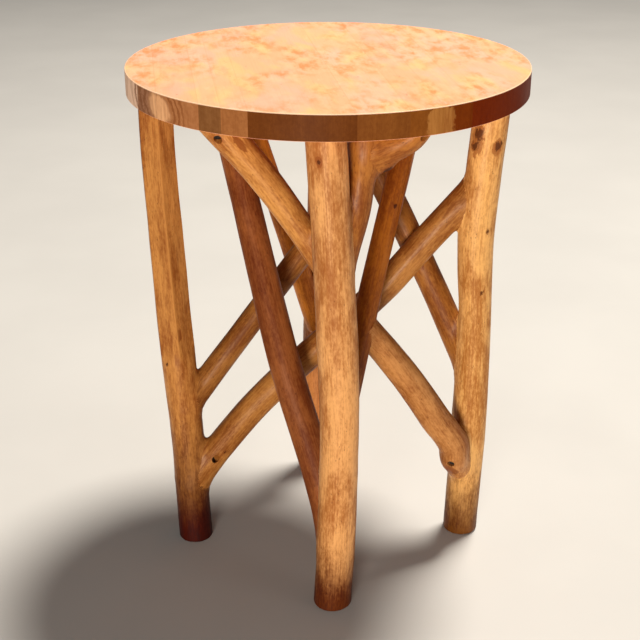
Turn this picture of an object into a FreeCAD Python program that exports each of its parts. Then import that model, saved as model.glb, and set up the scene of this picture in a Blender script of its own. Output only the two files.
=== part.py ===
# Branch side table: a round top of glued boards on four branch legs, tied by nine crossing branches
import FreeCAD, Part
import math
import os

import Sketcher
from FreeCAD import Placement, Rotation, Vector

doc = FreeCAD.newDocument("branch_side_table")

# Driving dimensions, in millimetres: every length of the table is named here once
sizes = {
    "table_height": 600,
    "top_diameter": 440,
    "top_thickness": 27,
    "top_arris": 1.2,
    "foot_arris": 2.5,
    "cut_overrun": 30,
    # thickness of each branch at its foot and at its upper end
    "leg_left_butt": 42.5,
    "leg_left_tip": 37.5,
    "leg_front_butt": 44.5,
    "leg_front_tip": 42,
    "leg_right_butt": 42,
    "leg_right_tip": 40.5,
    "leg_back_butt": 40,
    "leg_back_tip": 36,
    "brace_front_left_butt": 38.5,
    "brace_front_left_tip": 34.5,
    "brace_front_right_butt": 28,
    "brace_front_right_tip": 26,
    "brace_knee_butt": 30,
    "brace_knee_tip": 34.5,
    "brace_low_butt": 36.5,
    "brace_low_tip": 34,
    "brace_cross_butt": 38,
    "brace_cross_tip": 36.5,
    "brace_left_butt": 30.5,
    "brace_left_tip": 29,
    "brace_back_butt": 29,
    "brace_back_tip": 25.5,
    "brace_right_butt": 34,
    "brace_right_tip": 33,
    "fork_stem_butt": 29,
    "fork_stem_tip": 30.5,
    "fork_arm_butt": 26,
    "fork_arm_tip": 27,
    # hidden pins that join the legs to the top
    "dowel_diameter": 12,
    "dowel_length": 34,
    "dowel_in_top": 16,
    # wood screws that hold the ends of the braces
    "screw_length": 40,
    "screw_shank": 4.5,
    "screw_head": 8.5,
    "screw_head_depth": 3.5,
    "screw_point": 6,
    "screw_point_width": 1,
    "screw_set": 2.5,
}

sheet = doc.addObject("Spreadsheet::Sheet", "Sizes")
for row, (alias, value) in enumerate(sizes.items(), start=1):
    sheet.set(f"A{row}", alias)
    sheet.set(f"B{row}", str(value))
    sheet.setAlias(f"B{row}", alias)
doc.recompute()


def size(alias):
    return float(sheet.get(alias))


top_radius = size("top_diameter") / 2
underside = size("table_height") - size("top_thickness")
overrun = size("cut_overrun")

# Feet and tops of the legs, as shares of the top's radius to the right and to the back
leg_foot_shares = {
    "leg_left": (-0.755, -0.086),
    "leg_front": (0.027, -0.718),
    "leg_right": (0.777, -0.009),
    "leg_back": (-0.045, 0.68),
}
leg_top_shares = {
    "leg_left": (-0.862, -0.055),
    "leg_front": (-0.018, -0.785),
    "leg_right": (0.83, -0.023),
    "leg_back": (-0.027, 0.755),
}

# Bow of a branch: share of its length along it, then to its side and to its back as shares of its length
bow_shares = {
    "leg_left": [(0.25, 0.001, 0.0), (0.55, -0.004, 0.0), (0.84, -0.005, 0.004)],
    "leg_front": [(0.13, 0.008, 0.0), (0.4, 0.019, 0.0), (0.6, 0.016, 0.003), (0.85, 0.007, 0.0)],
    "leg_right": [(0.26, 0.002, 0.004), (0.5, -0.002, 0.0), (0.69, -0.0135, 0.0), (0.84, -0.008, 0.0)],
    "leg_back": [(0.3, -0.006, 0.004), (0.7, 0.004, 0.0)],
    "brace_front_left": [(0.12, 0.008, 0.0), (0.45, -0.006, 0.0), (0.7, -0.004, 0.006)],
    "brace_front_right": [(0.3, -0.004, 0.0), (0.65, -0.003, 0.0)],
    "brace_knee": [(0.32, 0.018, 0.0), (0.68, 0.023, 0.0)],
    "brace_low": [(0.1, 0.016, 0.0), (0.28, 0.022, 0.0), (0.52, 0.028, 0.0), (0.78, 0.02, 0.0)],
    "brace_cross": [(0.12, -0.014, 0.0), (0.3, -0.022, 0.0), (0.67, -0.002, -0.006), (0.9, -0.012, 0.0)],
    "brace_left": [(0.35, -0.001, 0.0), (0.7, -0.001, 0.006)],
    "brace_back": [(0.5, 0.002, 0.004)],
    "brace_right": [(0.4, 0.006, 0.0), (0.7, 0.004, 0.0)],
    "fork_stem": [(0.25, 0.02, 0.0), (0.5, 0.038, 0.0), (0.75, 0.022, 0.0)],
    "fork_arm": [(0.3, 0.07, 0.0), (0.7, 0.11, 0.0)],
}

# Swell or waist of a branch: share of its length along it, then its thickness there as a share of an even taper
girth_shares = {
    "leg_left": [0.97, 1.0, 0.98, 1.02],
    "leg_front": [1.0, 0.98, 1.01, 1.0],
    "leg_right": [1.01, 0.94, 1.0, 0.98],
    "leg_back": [0.97, 1.02],
    "brace_front_left": [1.01, 0.98, 0.94],
    "brace_front_right": [1.0, 0.98],
    "brace_knee": [0.97, 0.98],
    "brace_low": [1.0, 1.0, 0.98, 0.98],
    "brace_cross": [0.93, 0.93, 0.9, 0.94],
    "brace_left": [1.0, 0.97],
    "brace_back": [0.96],
    "brace_right": [0.94, 1.0],
    "fork_stem": [0.98, 0.98, 0.98],
    "fork_arm": [1.15, 1.08],
}

# Rounded foot: reach beyond the branch's foot and girth there, as shares of its radius and thickness
dome_shares = [(0.7, 0.35), (0.6, 0.65), (0.35, 0.88), (0.0, 1.0)]

# Foot of a brace: the leg that it stands on, its height as a share of the underside's height, and how far
# its middle lies from the leg's middle, to the right and to the back, as shares of the leg's thickness
brace_foot_shares = {
    "brace_front_left": ("leg_front", 0.1, (0.04, 0.05)),
    "brace_front_right": ("leg_front", 0.305, (-0.19, 0.0)),
    "brace_knee": ("leg_front", 0.722, (-0.12, 0.5)),
    "brace_low": ("leg_right", 0.217, (-0.39, -0.72)),
    "brace_cross": ("leg_left", 0.131, (0.0, 0.0)),
    "brace_left": ("leg_left", 0.311, (0.0, 0.0)),
    "brace_back": ("leg_back", 0.39, (-0.06, -0.62)),
    "brace_right": ("leg_right", 0.385, (0.0, 0.22)),
    "fork_stem": ("leg_front", 0.698, (0.03, 0.14)),
}
# Upper end of a brace at the top's underside, as shares of the top's radius to the right and to the back
brace_top_shares = {
    "brace_front_left": (-0.59, 0.318),
    "brace_front_right": (0.483, 0.195),
    "brace_knee": (-0.505, -0.7),
    "brace_left": (0.65, 0.545),
    "brace_back": (-0.518, 0.545),
    "brace_right": (0.014, 0.265),
    "fork_stem": (0.173, -0.64),
}
# The crossing brace ends on the right leg instead, and the low brace on the brace at the front right
cross_end_share = 0.795
cross_end_offset_shares = (0.0, 0.12)
low_end_share = 0.365
low_end_offset_share = 0.14
# The fork's arm leaves the stem here and reaches the underside there
fork_crotch_share = 0.8
fork_arm_top_shares = (0.427, -0.67)

# Screws: the branch that each goes through, its place as a share of that branch's length, and its direction
# to the right, to the back and up
screw_places = {
    "screw_top_left": ("brace_knee", 0.99, (-0.05, 0.8, 0.56)),
    "screw_top_right": ("fork_arm", 0.93, (-0.25, 0.75, 0.6)),
    "screw_leg_left": ("brace_cross", 0.065, (-0.5, 0.6, -0.6)),
    "screw_leg_right": ("brace_low", 0.0, (0.4, 0.9, 0.17)),
}

# Seams of the top, as shares of its radius across the boards, and the boards' turn from front to back
seam_shares = [-0.86, -0.68, -0.588, -0.477, -0.02, 0.216, 0.375, 0.521]
board_turn_degrees = 8


# Places worked out from the sizes and shares

# Thickness of a branch at a share of its length
def thickness_at(name, share):
    stations = [(0.0, 1.0)]
    stations += [(bow[0], girth) for bow, girth in zip(bow_shares[name], girth_shares[name])]
    stations += [(1.0, 1.0)]
    taper = size(f"{name}_butt") + (size(f"{name}_tip") - size(f"{name}_butt")) * share
    for (low, girth), (high, next_girth) in zip(stations, stations[1:]):
        if share <= high:
            return taper * (girth + (next_girth - girth) * (share - low) / (high - low))
    return taper


def plan_point(shares, height):
    return Vector(shares[0] * top_radius, shares[1] * top_radius, height)


def between(start, end, share):
    return start + (end - start) * share


def axis_turn(start, end):
    return Rotation(Vector(0, 0, 1), end - start)


# Bow of a branch at a share of its length, as shares to its side and to its back
def bow_at(name, share):
    stations = [(0.0, 0.0, 0.0)] + bow_shares[name] + [(1.0, 0.0, 0.0)]
    for (low, side, back), (high, next_side, next_back) in zip(stations, stations[1:]):
        if share <= high:
            part = (share - low) / (high - low)
            return side + (next_side - side) * part, back + (next_back - back) * part
    return 0.0, 0.0


# Middle of a branch at a share of its length, with its bow
def branch_point(name, start, end, share):
    side, back = bow_at(name, share)
    length = (end - start).Length
    return between(start, end, share) + axis_turn(start, end).multVec(Vector(side * length, back * length, 0))


lines = {}
for name, foot_shares in leg_foot_shares.items():
    lines[name] = (plan_point(foot_shares, 0), plan_point(leg_top_shares[name], underside))


def leg_point(leg, height_share, offset_shares):
    start, end = lines[leg]
    thick = size(f"{leg}_butt")
    offset = Vector(offset_shares[0] * thick, offset_shares[1] * thick, 0)
    return branch_point(leg, start, end, height_share) + offset


for name, (leg, height_share, offset_shares) in brace_foot_shares.items():
    foot = leg_point(leg, height_share, offset_shares)
    if name == "brace_cross":
        top = leg_point("leg_right", cross_end_share, cross_end_offset_shares)
    elif name == "brace_low":
        carrier = "brace_front_right"
        set_back = low_end_offset_share * size(f"{carrier}_butt")
        top = branch_point(carrier, *lines[carrier], low_end_share) + Vector(0, set_back, 0)
    else:
        top = plan_point(brace_top_shares[name], underside)
    lines[name] = (foot, top)
crotch = branch_point("fork_stem", *lines["fork_stem"], fork_crotch_share)
lines["fork_arm"] = (crotch, plan_point(fork_arm_top_shares, underside))


# Building blocks

def origin_plane(body, role):
    return next(item for item in body.Origin.OriginFeatures if item.Role == role)


# A circle across the branch, whose radius follows the sheet
def round_section(body, name, place, girth):
    sketch = body.newObject("Sketcher::SketchObject", name)
    sketch.AttachmentSupport = [(origin_plane(body, "XY_Plane"), "")]
    sketch.MapMode = "FlatFace"
    sketch.AttachmentOffset = Placement(place, Rotation())
    sketch.addGeometry(Part.Circle(Vector(), Vector(0, 0, 1), size("dowel_diameter")), False)
    sketch.addConstraint(Sketcher.Constraint("Coincident", 0, 3, -1, 1))
    sketch.addConstraint(Sketcher.Constraint("Radius", 0, size("dowel_diameter")))
    sketch.renameConstraint(1, "Girth")
    sketch.setExpression("Constraints.Girth", girth)
    return sketch


# A tapered, bowed branch from its foot to its upper end, longer by below and above
def branch(name, below, above, round_foot=False):
    start, end = lines[name]
    length = (end - start).Length
    body = doc.addObject("PartDesign::Body", f"{name}_branch")
    stations = [(-below / length, 1.0)]
    if round_foot:
        dome = size(f"{name}_butt") / 2 / length
        stations = [(-dome * reach, girth) for reach, girth in dome_shares]
    stations += [(bow[0], girth) for bow, girth in zip(bow_shares[name], girth_shares[name])]
    stations += [(1.0 + above / length, 1.0)]
    sections = []
    for number, (share, girth) in enumerate(stations):
        side, back = bow_at(name, share) if 0 < share < 1 else (0.0, 0.0)
        place = Vector(side * length, back * length, share * length)
        butt, tip = f"Sizes.{name}_butt", f"Sizes.{name}_tip"
        taper = f"({butt} + ({tip} - {butt}) * {share}) / 2 * {girth}"
        sections.append(round_section(body, f"{name}_section_{number}", place, taper))
    loft = body.newObject("PartDesign::AdditiveLoft", f"{name}_loft")
    loft.Profile = sections[0]
    loft.Sections = sections[1:]
    loft.Ruled = True
    body.Tip = loft
    body.Placement = Placement(start, axis_turn(start, end))
    return body


# The base without its tools, taken away one after the other where their boxes meet
def cut(base, tools, name):
    doc.recompute()
    box = base.Shape.BoundBox
    for number, tool in enumerate(tools, start=1):
        if box.intersect(tool.Shape.BoundBox):
            result = doc.addObject("Part::Cut", f"{name}_{number}")
            result.Base = base
            result.Tool = tool
            base = result
    return base


def common(base, tool, name):
    result = doc.addObject("Part::Common", name)
    result.Base = base
    result.Tool = tool
    return result


pieces = []


def finish_piece(item, label):
    item.Label = label
    pieces.append(item)
    return item


# Room between the floor and the top's underside, which every branch is sawn to
room = doc.addObject("Part::Box", "room")
room.setExpression("Length", "Sizes.top_diameter")
room.setExpression("Width", "Sizes.top_diameter")
room.setExpression("Height", "Sizes.table_height - Sizes.top_thickness")
room.Placement = Placement(Vector(-top_radius, -top_radius, 0), Rotation())

# Dowels, half in the legs and half in the top
dowels = []
for name in leg_foot_shares:
    dowel = doc.addObject("Part::Cylinder", f"{name}_dowel")
    dowel.setExpression("Radius", "Sizes.dowel_diameter / 2")
    dowel.setExpression("Height", "Sizes.dowel_length")
    seat = underside + size("dowel_in_top") - size("dowel_length")
    end = lines[name][1]
    dowel.Placement = Placement(Vector(end.x, end.y, seat), Rotation())
    dowels.append(dowel)
leg_dowels = doc.addObject("Part::Compound", "leg_dowels")
leg_dowels.Links = dowels
finish_piece(leg_dowels, "leg_dowels")

# Wood screws with countersunk heads, set below the surface, and the bores that they leave in the braces
screws = {}
bores = {}
for name, (carrier, share, aim) in screw_places.items():
    aim = Vector(*aim).normalize()
    surface = branch_point(carrier, *lines[carrier], share) - aim * (thickness_at(carrier, share) / 2)
    turned = Rotation(Vector(0, 0, 1), aim)

    def along(distance):
        return Placement(surface + aim * distance, turned)

    shank_start = size("screw_set") + size("screw_head_depth")
    point_start = size("screw_set") + size("screw_length") - size("screw_point")
    head = doc.addObject("Part::Cone", f"{name}_head")
    head.setExpression("Radius1", "Sizes.screw_head / 2")
    head.setExpression("Radius2", "Sizes.screw_shank / 2")
    head.setExpression("Height", "Sizes.screw_head_depth")
    head.Placement = along(size("screw_set"))
    shank = doc.addObject("Part::Cylinder", f"{name}_shank")
    shank.setExpression("Radius", "Sizes.screw_shank / 2")
    shank.setExpression("Height", "Sizes.screw_length - Sizes.screw_head_depth - Sizes.screw_point")
    shank.Placement = along(shank_start)
    point = doc.addObject("Part::Cone", f"{name}_point")
    point.setExpression("Radius1", "Sizes.screw_shank / 2")
    point.setExpression("Radius2", "Sizes.screw_point_width / 2")
    point.setExpression("Height", "Sizes.screw_point")
    point.Placement = along(point_start)
    screw = doc.addObject("Part::MultiFuse", name)
    screw.Shapes = [head, shank, point]
    screws[name] = screw
    hole = doc.addObject("Part::Cylinder", f"{name}_hole")
    hole.setExpression("Radius", "Sizes.screw_head / 2")
    hole.setExpression("Height", "Sizes.screw_set + Sizes.cut_overrun")
    hole.Placement = along(-overrun)
    bore = doc.addObject("Part::MultiFuse", f"{name}_bore")
    bore.Shapes = [screw, hole]
    bores[name] = bore
brace_screws = doc.addObject("Part::Compound", "brace_screws")
brace_screws.Links = list(screws.values())
finish_piece(brace_screws, "brace_screws")

# Legs, sawn flat at both ends, bored for their dowels and eased round the foot
sawn = {}
for name, dowel in zip(leg_foot_shares, dowels):
    raw = branch(name, overrun, overrun)
    sawn[name] = common(raw, room, f"{name}_sawn")
doc.recompute()

for name, dowel in zip(leg_foot_shares, dowels):
    bored = cut(sawn[name], [dowel] + list(screws.values()), f"{name}_bored")
    doc.recompute()
    eased = doc.addObject("Part::Chamfer", f"{name}_eased")
    eased.Base = bored
    arris = size("foot_arris")
    floor_edges = [
        number
        for number, edge in enumerate(bored.Shape.Edges, start=1)
        if edge.BoundBox.ZMax < arris / 2
    ]
    eased.Edges = [(number, arris, arris) for number in floor_edges]
    finish_piece(eased, name)
doc.recompute()

# Braces, each bored for its screw, then scribed to the legs and to the braces that were set before it
brace_order = [
    "brace_front_left",
    "brace_front_right",
    "brace_knee",
    "brace_cross",
    "brace_low",
    "brace_left",
    "brace_back",
    "brace_right",
]
lapped = ["brace_low", "brace_back"]
set_before = [sawn[name] for name in leg_foot_shares]
screw_bores = list(bores.values())
for name in brace_order:
    if name in brace_top_shares:
        level = common(branch(name, 0, overrun, name in lapped), room, f"{name}_level")
    else:
        level = branch(name, 0, 0, name in lapped)
    scribed = cut(level, screw_bores + set_before, f"{name}_scribed")
    set_before.append(level)
    finish_piece(scribed, name)

# Fork: a stem that grows out of the front leg and parts under the top
stem = branch("fork_stem", 0, overrun)
arm = branch("fork_arm", 0, overrun)
fork = doc.addObject("Part::MultiFuse", "fork_whole")
fork.Shapes = [stem, arm]
fork_level = common(fork, room, "fork_level")
finish_piece(cut(fork_level, screw_bores + set_before, "fork_scribed"), "brace_fork")

# Top: a disc with eased arrises, bored from below for the dowels and divided into its boards
disc = doc.addObject("PartDesign::Body", "top_disc")
outline = round_section(disc, "top_outline", Vector(), "Sizes.top_diameter / 2")
pad = disc.newObject("PartDesign::Pad", "top_pad")
pad.Profile = outline
pad.setExpression("Length", "Sizes.top_thickness")
doc.recompute()
arrises = [
    f"Edge{number}"
    for number, edge in enumerate(pad.Shape.Edges, start=1)
    if isinstance(edge.Curve, Part.Circle)
]
easing = disc.newObject("PartDesign::Chamfer", "top_easing")
easing.Base = (pad, arrises)
easing.setExpression("Size", "Sizes.top_arris")
disc.Tip = easing
disc.Placement = Placement(Vector(0, 0, underside), Rotation())
bored_top = cut(disc, dowels + list(screws.values()), "top_bored")

seams = [-1.0] + seam_shares + [1.0]
turn = Rotation(Vector(0, 0, 1), board_turn_degrees)
for number, (low, high) in enumerate(zip(seams, seams[1:]), start=1):
    strip = doc.addObject("Part::Box", f"board_{number}_strip")
    strip.setExpression("Length", f"Sizes.top_diameter / 2 * {high - low}")
    strip.setExpression("Width", "Sizes.top_diameter")
    strip.setExpression("Height", "Sizes.top_thickness")
    corner = Vector(low * top_radius, -top_radius, underside)
    strip.Placement = Placement(turn.multVec(corner), turn)
    finish_piece(common(bored_top, strip, f"board_{number}"), f"top_board_{number}")
doc.recompute()

# Every object has to be sound before anything is written
for item in doc.Objects:
    if {"Invalid", "Error"} & set(item.State):
        raise RuntimeError(f"{item.Name} failed: {item.State}")
os.makedirs("parts", exist_ok=True)
for item in pieces:
    shape = item.Shape
    if shape.isNull() or not shape.isValid():
        raise RuntimeError(f"{item.Label} has no sound shape")
    shape.exportStep(f"parts/{item.Label}.step")
    box = shape.BoundBox
    print(item.Label, len(shape.Solids), "solids", round(shape.Volume / 1000, 1), "cm3", box)
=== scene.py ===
# Branch side table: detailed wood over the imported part, lit softly on a pale floor
import math

import bmesh
import bpy
from mathutils import Matrix, Vector, noise
from mathutils.bvhtree import BVHTree
from mathutils.kdtree import KDTree


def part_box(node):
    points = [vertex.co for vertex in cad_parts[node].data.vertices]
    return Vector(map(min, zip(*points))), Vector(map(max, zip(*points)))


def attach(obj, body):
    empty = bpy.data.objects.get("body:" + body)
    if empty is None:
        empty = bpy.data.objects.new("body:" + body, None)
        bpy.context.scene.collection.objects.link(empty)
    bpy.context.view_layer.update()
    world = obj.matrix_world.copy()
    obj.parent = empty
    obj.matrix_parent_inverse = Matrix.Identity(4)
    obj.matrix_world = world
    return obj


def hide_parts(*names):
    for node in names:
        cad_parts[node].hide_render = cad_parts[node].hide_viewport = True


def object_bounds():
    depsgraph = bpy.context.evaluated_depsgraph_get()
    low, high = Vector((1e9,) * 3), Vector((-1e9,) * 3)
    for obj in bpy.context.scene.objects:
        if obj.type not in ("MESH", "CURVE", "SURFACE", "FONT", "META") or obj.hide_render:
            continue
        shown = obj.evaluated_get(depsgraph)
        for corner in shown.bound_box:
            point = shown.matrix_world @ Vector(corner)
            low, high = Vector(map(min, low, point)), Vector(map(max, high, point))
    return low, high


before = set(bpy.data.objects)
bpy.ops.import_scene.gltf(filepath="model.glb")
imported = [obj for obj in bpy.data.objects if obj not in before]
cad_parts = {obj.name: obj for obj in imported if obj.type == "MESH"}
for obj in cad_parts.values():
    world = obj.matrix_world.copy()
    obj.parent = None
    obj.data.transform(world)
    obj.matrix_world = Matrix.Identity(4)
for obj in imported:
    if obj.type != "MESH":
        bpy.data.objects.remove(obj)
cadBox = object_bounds()
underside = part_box("leg_front")[1][2]
topHeight = cadBox[1][2]
print("frame loaded:", len(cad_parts), "nodes")


# Node helpers; colours are written as three numbers

def feed(tree, node, inputs):
    for key, value in inputs.items():
        socket = node.inputs[key]
        if isinstance(value, bpy.types.NodeSocket):
            tree.links.new(value, socket)
        elif socket.type == "RGBA":
            socket.default_value = (*value, 1.0)
        else:
            socket.default_value = value
    return node


def put(tree, kind, inputs=None, **settings):
    node = tree.nodes.new("ShaderNode" + kind)
    for key, value in settings.items():
        setattr(node, key, value)
    return feed(tree, node, inputs or {})


def combine(tree, a, b, operation="ADD"):
    return put(tree, "Math", {0: a, 1: b}, operation=operation).outputs[0]


def times(tree, a, b):
    return combine(tree, a, b, "MULTIPLY")


def centred(tree, value):
    return combine(tree, value, 0.5, "SUBTRACT")


# Adds parts to a start, each by its own share
def weighted(tree, parts, start=0.0):
    for part, share in parts:
        start = combine(tree, start, times(tree, part, share))
    return start


def combineVectors(tree, a, b, operation="ADD"):
    return put(tree, "VectorMath", {0: a, 1: b}, operation=operation).outputs[0]


def scaleVector(tree, vector, scale):
    return put(tree, "VectorMath", {0: vector, "Scale": scale}, operation="SCALE").outputs[0]


def lengthOf(tree, vector):
    return put(tree, "VectorMath", {0: vector}, operation="LENGTH").outputs["Value"]


def partsOf(tree, vector):
    return put(tree, "SeparateXYZ", {0: vector}).outputs


def objectPlace(tree):
    return put(tree, "TexCoord").outputs["Object"]


def attribute(tree, name, output="Vector"):
    return put(tree, "Attribute", attribute_name=name).outputs[output]


def ramp(tree, value, low, high, outLow=0.0, outHigh=1.0):
    settings = {"Value": value, "From Min": low, "From Max": high, "To Min": outLow, "To Max": outHigh}
    return put(tree, "MapRange", settings, interpolation_type="SMOOTHSTEP").outputs[0]


def mixColour(tree, share, a, b, blend="MIX"):
    return put(tree, "Mix", {0: share, 6: a, 7: b}, data_type="RGBA", blend_type=blend).outputs[2]


# Lays tones over a colour one after another, each by its own share
def layered(tree, colour, layers):
    for share, tone in layers:
        colour = mixColour(tree, share, colour, tone)
    return colour


def tinted(tone, shares):
    return [part * share for part, share in zip(tone, shares)]


def stretched(tree, vector, scales, place=(0.0, 0.0, 0.0)):
    return put(tree, "Mapping", {"Vector": vector, "Scale": scales, "Location": place}).outputs[0]


def noiseAt(tree, vector, scale=1.0, detail=3.0, rough=0.5, twist=0.0):
    settings = {"Vector": vector, "Scale": scale, "Detail": detail, "Roughness": rough, "Distortion": twist}
    return put(tree, "TexNoise", settings).outputs["Fac"]


def stretchedNoise(tree, vector, scales, place=(0.0, 0.0, 0.0), **settings):
    return noiseAt(tree, stretched(tree, vector, scales, place), **settings)


# Small round specks, one to a cell of the pattern, only where a broader noise is high
def specksAt(tree, place, stretch, scale, size, chance, where):
    cells = put(tree, "TexVoronoi", {"Vector": stretched(tree, place, stretch), "Scale": scale})
    spots = ramp(tree, cells.outputs["Distance"], *size, 1.0, 0.0)
    return times(tree, spots, ramp(tree, noiseAt(tree, place, **chance), *where))


def newGroup(name, takes, gives):
    group = bpy.data.node_groups.new(name, "ShaderNodeTree")
    for label, kind, value in takes:
        socket = group.interface.new_socket(label, in_out="INPUT", socket_type="NodeSocket" + kind)
        if value is not None:
            socket.default_value = value
    for label in gives:
        group.interface.new_socket(label, in_out="OUTPUT", socket_type="NodeSocketFloat")
    return group, group.nodes.new("NodeGroupInput").outputs, group.nodes.new("NodeGroupOutput")


def useGroup(tree, group, inputs):
    return put(tree, "Group", inputs, node_tree=group).outputs


def newFinish(name):
    material = bpy.data.materials.new(name)
    material.use_nodes = True
    tree = material.node_tree
    return material, tree, tree.nodes["Principled BSDF"]


# Mesh helpers

def addObject(name, content):
    thing = bpy.data.objects.new(name, content)
    bpy.context.collection.objects.link(thing)
    return thing


# Faces between rings that have count points each, from the point numbered first
def bandFaces(rings, count, first=0):
    faces = []
    for ring in range(rings - 1):
        base = first + ring * count
        for number in range(count):
            after = (number + 1) % count
            faces.append((base + number, base + after, base + count + after, base + count + number))
    return faces


# Clears what lies beyond a plane and closes the cut
def sawOff(shape, place, normal):
    geometry = shape.verts[:] + shape.edges[:] + shape.faces[:]
    cut = bmesh.ops.bisect_plane(shape, geom=geometry, plane_co=place, plane_no=normal, clear_outer=True)
    rim = [item for item in cut["geom_cut"] if isinstance(item, bmesh.types.BMEdge)]
    bmesh.ops.holes_fill(shape, edges=rim)


def smoothUpTo(mesh, degrees):
    mesh.polygons.foreach_set("use_smooth", [True] * len(mesh.polygons))
    mesh.set_sharp_from_angle(angle=math.radians(degrees))


# Peeled branch surface: broad patches, small mottling, grit and fibres, ragged remains of bark and specks,
# all drawn out along the branch. The first three noises are scaled by the patches, the others by the metre.
peel = {
    "patches": {"scale": 0.5, "rough": 0.55, "twist": 0.4},
    "mottle": {"scale": 2.4, "detail": 5.0, "rough": 0.62, "twist": 0.4},
    "clusters": {"scale": 0.9, "rough": 0.55},
    "grit": {"scales": (420.0, 420.0, 190.0), "rough": 0.6},
    "fibres": {"scales": (620.0, 620.0, 22.0), "rough": 0.6, "twist": 0.1},
    "ragged": {
        "scales": (230.0, 230.0, 60.0), "place": (3.1, 1.7, 0.4), "detail": 5.0, "rough": 0.6, "twist": 0.4,
    },
    "lumps": {"scales": (110.0, 110.0, 30.0), "detail": 4.0},
    "specks": {
        "stretch": (1.0, 1.0, 0.55), "scale": 330.0, "size": (0.08, 0.30),
        "chance": {"scale": 60.0, "rough": 0.6}, "where": (0.50, 0.66),
    },
    "tone": [  # noise, from and to which value, and its share of the tone
        ("patches", 0.34, 0.66, 0.42), ("mottle", 0.32, 0.68, 0.20),
        ("grit", 0.34, 0.66, 0.20), ("fibres", 0.34, 0.66, 0.20),
    ],
    "remainsShare": 0.16,
    "remainsShown": (1.18, 1.44),
    "relief": {"lumps": 0.8, "fibres": 0.05, "remains": -0.06, "specks": -0.06},
}


def makePeeledWood():
    group, takes, gives = newGroup(
        "PeeledWood",
        [("Grain", "Vector", None), ("Patch Size", "Float", 0.014),
         ("Stretch", "Float", 3.0), ("Remains", "Float", 0.5)],
        ["Tone", "Remains", "Specks", "Height"],
    )
    grain = takes["Grain"]
    across = combine(group, 1.0, takes["Patch Size"], "DIVIDE")
    along = combine(group, across, takes["Stretch"], "DIVIDE")
    patchScale = put(group, "CombineXYZ", {0: across, 1: across, 2: along}).outputs[0]
    patchPlace = combineVectors(group, grain, patchScale, "MULTIPLY")
    parts = {label: noiseAt(group, patchPlace, **peel[label]) for label in ("patches", "mottle", "clusters")}
    for label in ("grit", "fibres", "ragged", "lumps"):
        parts[label] = stretchedNoise(group, grain, **peel[label])
    tone = 0.0
    for label, low, high, share in peel["tone"]:
        tone = combine(group, tone, ramp(group, parts[label], low, high, 0.0, share))
    ragged = combine(group, parts["ragged"], parts["clusters"])
    ragged = combine(group, ragged, times(group, takes["Remains"], peel["remainsShare"]))
    parts["remains"] = ramp(group, ragged, *peel["remainsShown"])
    parts["specks"] = specksAt(group, grain, **peel["specks"])
    height = weighted(group, [(parts[label], share) for label, share in peel["relief"].items()])
    feed(group, gives, {
        "Tone": tone, "Remains": parts["remains"], "Specks": parts["specks"], "Height": height,
    })
    return group


# Growth rings of a sawn board, seen as streaks on its faces and as arcs on its ends
growth = {
    "bendScales": (9.0, 2.6, 9.0),
    "bendDetail": 2.0,
    "bendReach": 0.03,
    "uneven": {"scale": 0.8, "detail": 2.0},
    "ringShown": (0.1, 0.95),
    "fibres": {"scales": (520.0, 14.0, 520.0), "rough": 0.6},
}


def makeGrowthRings():
    group, takes, gives = newGroup(
        "GrowthRings",
        [("Place", "Vector", None), ("Heart", "Vector", None),
         ("Ring Gap", "Float", 0.004), ("Wobble", "Float", 1.0)],
        ["Rings", "Fibres"],
    )
    place = takes["Place"]
    bendPlace = stretched(group, place, growth["bendScales"])
    bend = put(group, "TexNoise", {"Vector": bendPlace, "Detail": growth["bendDetail"]}).outputs["Color"]
    shift = combineVectors(group, bend, (0.5, 0.5, 0.5), "SUBTRACT")
    shift = scaleVector(group, shift, times(group, takes["Wobble"], growth["bendReach"]))
    fromHeart = combineVectors(group, place, takes["Heart"], "SUBTRACT")
    flat = combineVectors(group, combineVectors(group, fromHeart, shift), (1.0, 0.0, 1.0), "MULTIPLY")
    ringCount = combine(group, lengthOf(group, flat), takes["Ring Gap"], "DIVIDE")
    countPlace = put(group, "CombineXYZ", {0: ringCount}).outputs[0]
    uneven = noiseAt(group, countPlace, **growth["uneven"])
    ringPart = combine(group, combine(group, ringCount, uneven), 1.0, "MODULO")
    feed(group, gives, {
        "Rings": ramp(group, ringPart, *growth["ringShown"]),
        "Fibres": stretchedNoise(group, place, **growth["fibres"]),
    })
    return group


# Wear: breaks up a mask so that rubbed, scarred or dirty places look uneven
wear = {
    "tears": {"scales": (240.0, 240.0, 110.0), "detail": 5.0, "rough": 0.65, "twist": 0.6},
    "shown": (0.30, 0.62),
    "reach": (0.0, 0.12),
}


def makeWornMask():
    group, takes, gives = newGroup(
        "WornMask",
        [("Mask", "Float", 0.0), ("Grain", "Vector", None),
         ("Break Up", "Float", 0.5), ("Fineness", "Float", 1.0)],
        ["Worn"],
    )
    finer = scaleVector(group, takes["Grain"], takes["Fineness"])
    tears = centred(group, stretchedNoise(group, finer, **wear["tears"]))
    torn = combine(group, takes["Mask"], times(group, tears, takes["Break Up"]))
    worn = times(group, ramp(group, torn, *wear["shown"]), ramp(group, takes["Mask"], *wear["reach"]))
    feed(group, gives, {"Worn": worn})
    return group


peeledWood = makePeeledWood()
growthRings = makeGrowthRings()
wornMask = makeWornMask()
print("shader groups ready")


# Branches

# Light wood, dark wood, bark left on it and knots, as shares of a branch's own colour
woodShares = [(1.38, 1.52, 1.85), (0.66, 0.48, 0.32), (0.48, 0.26, 0.12), (0.13, 0.06, 0.03)]
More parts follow.
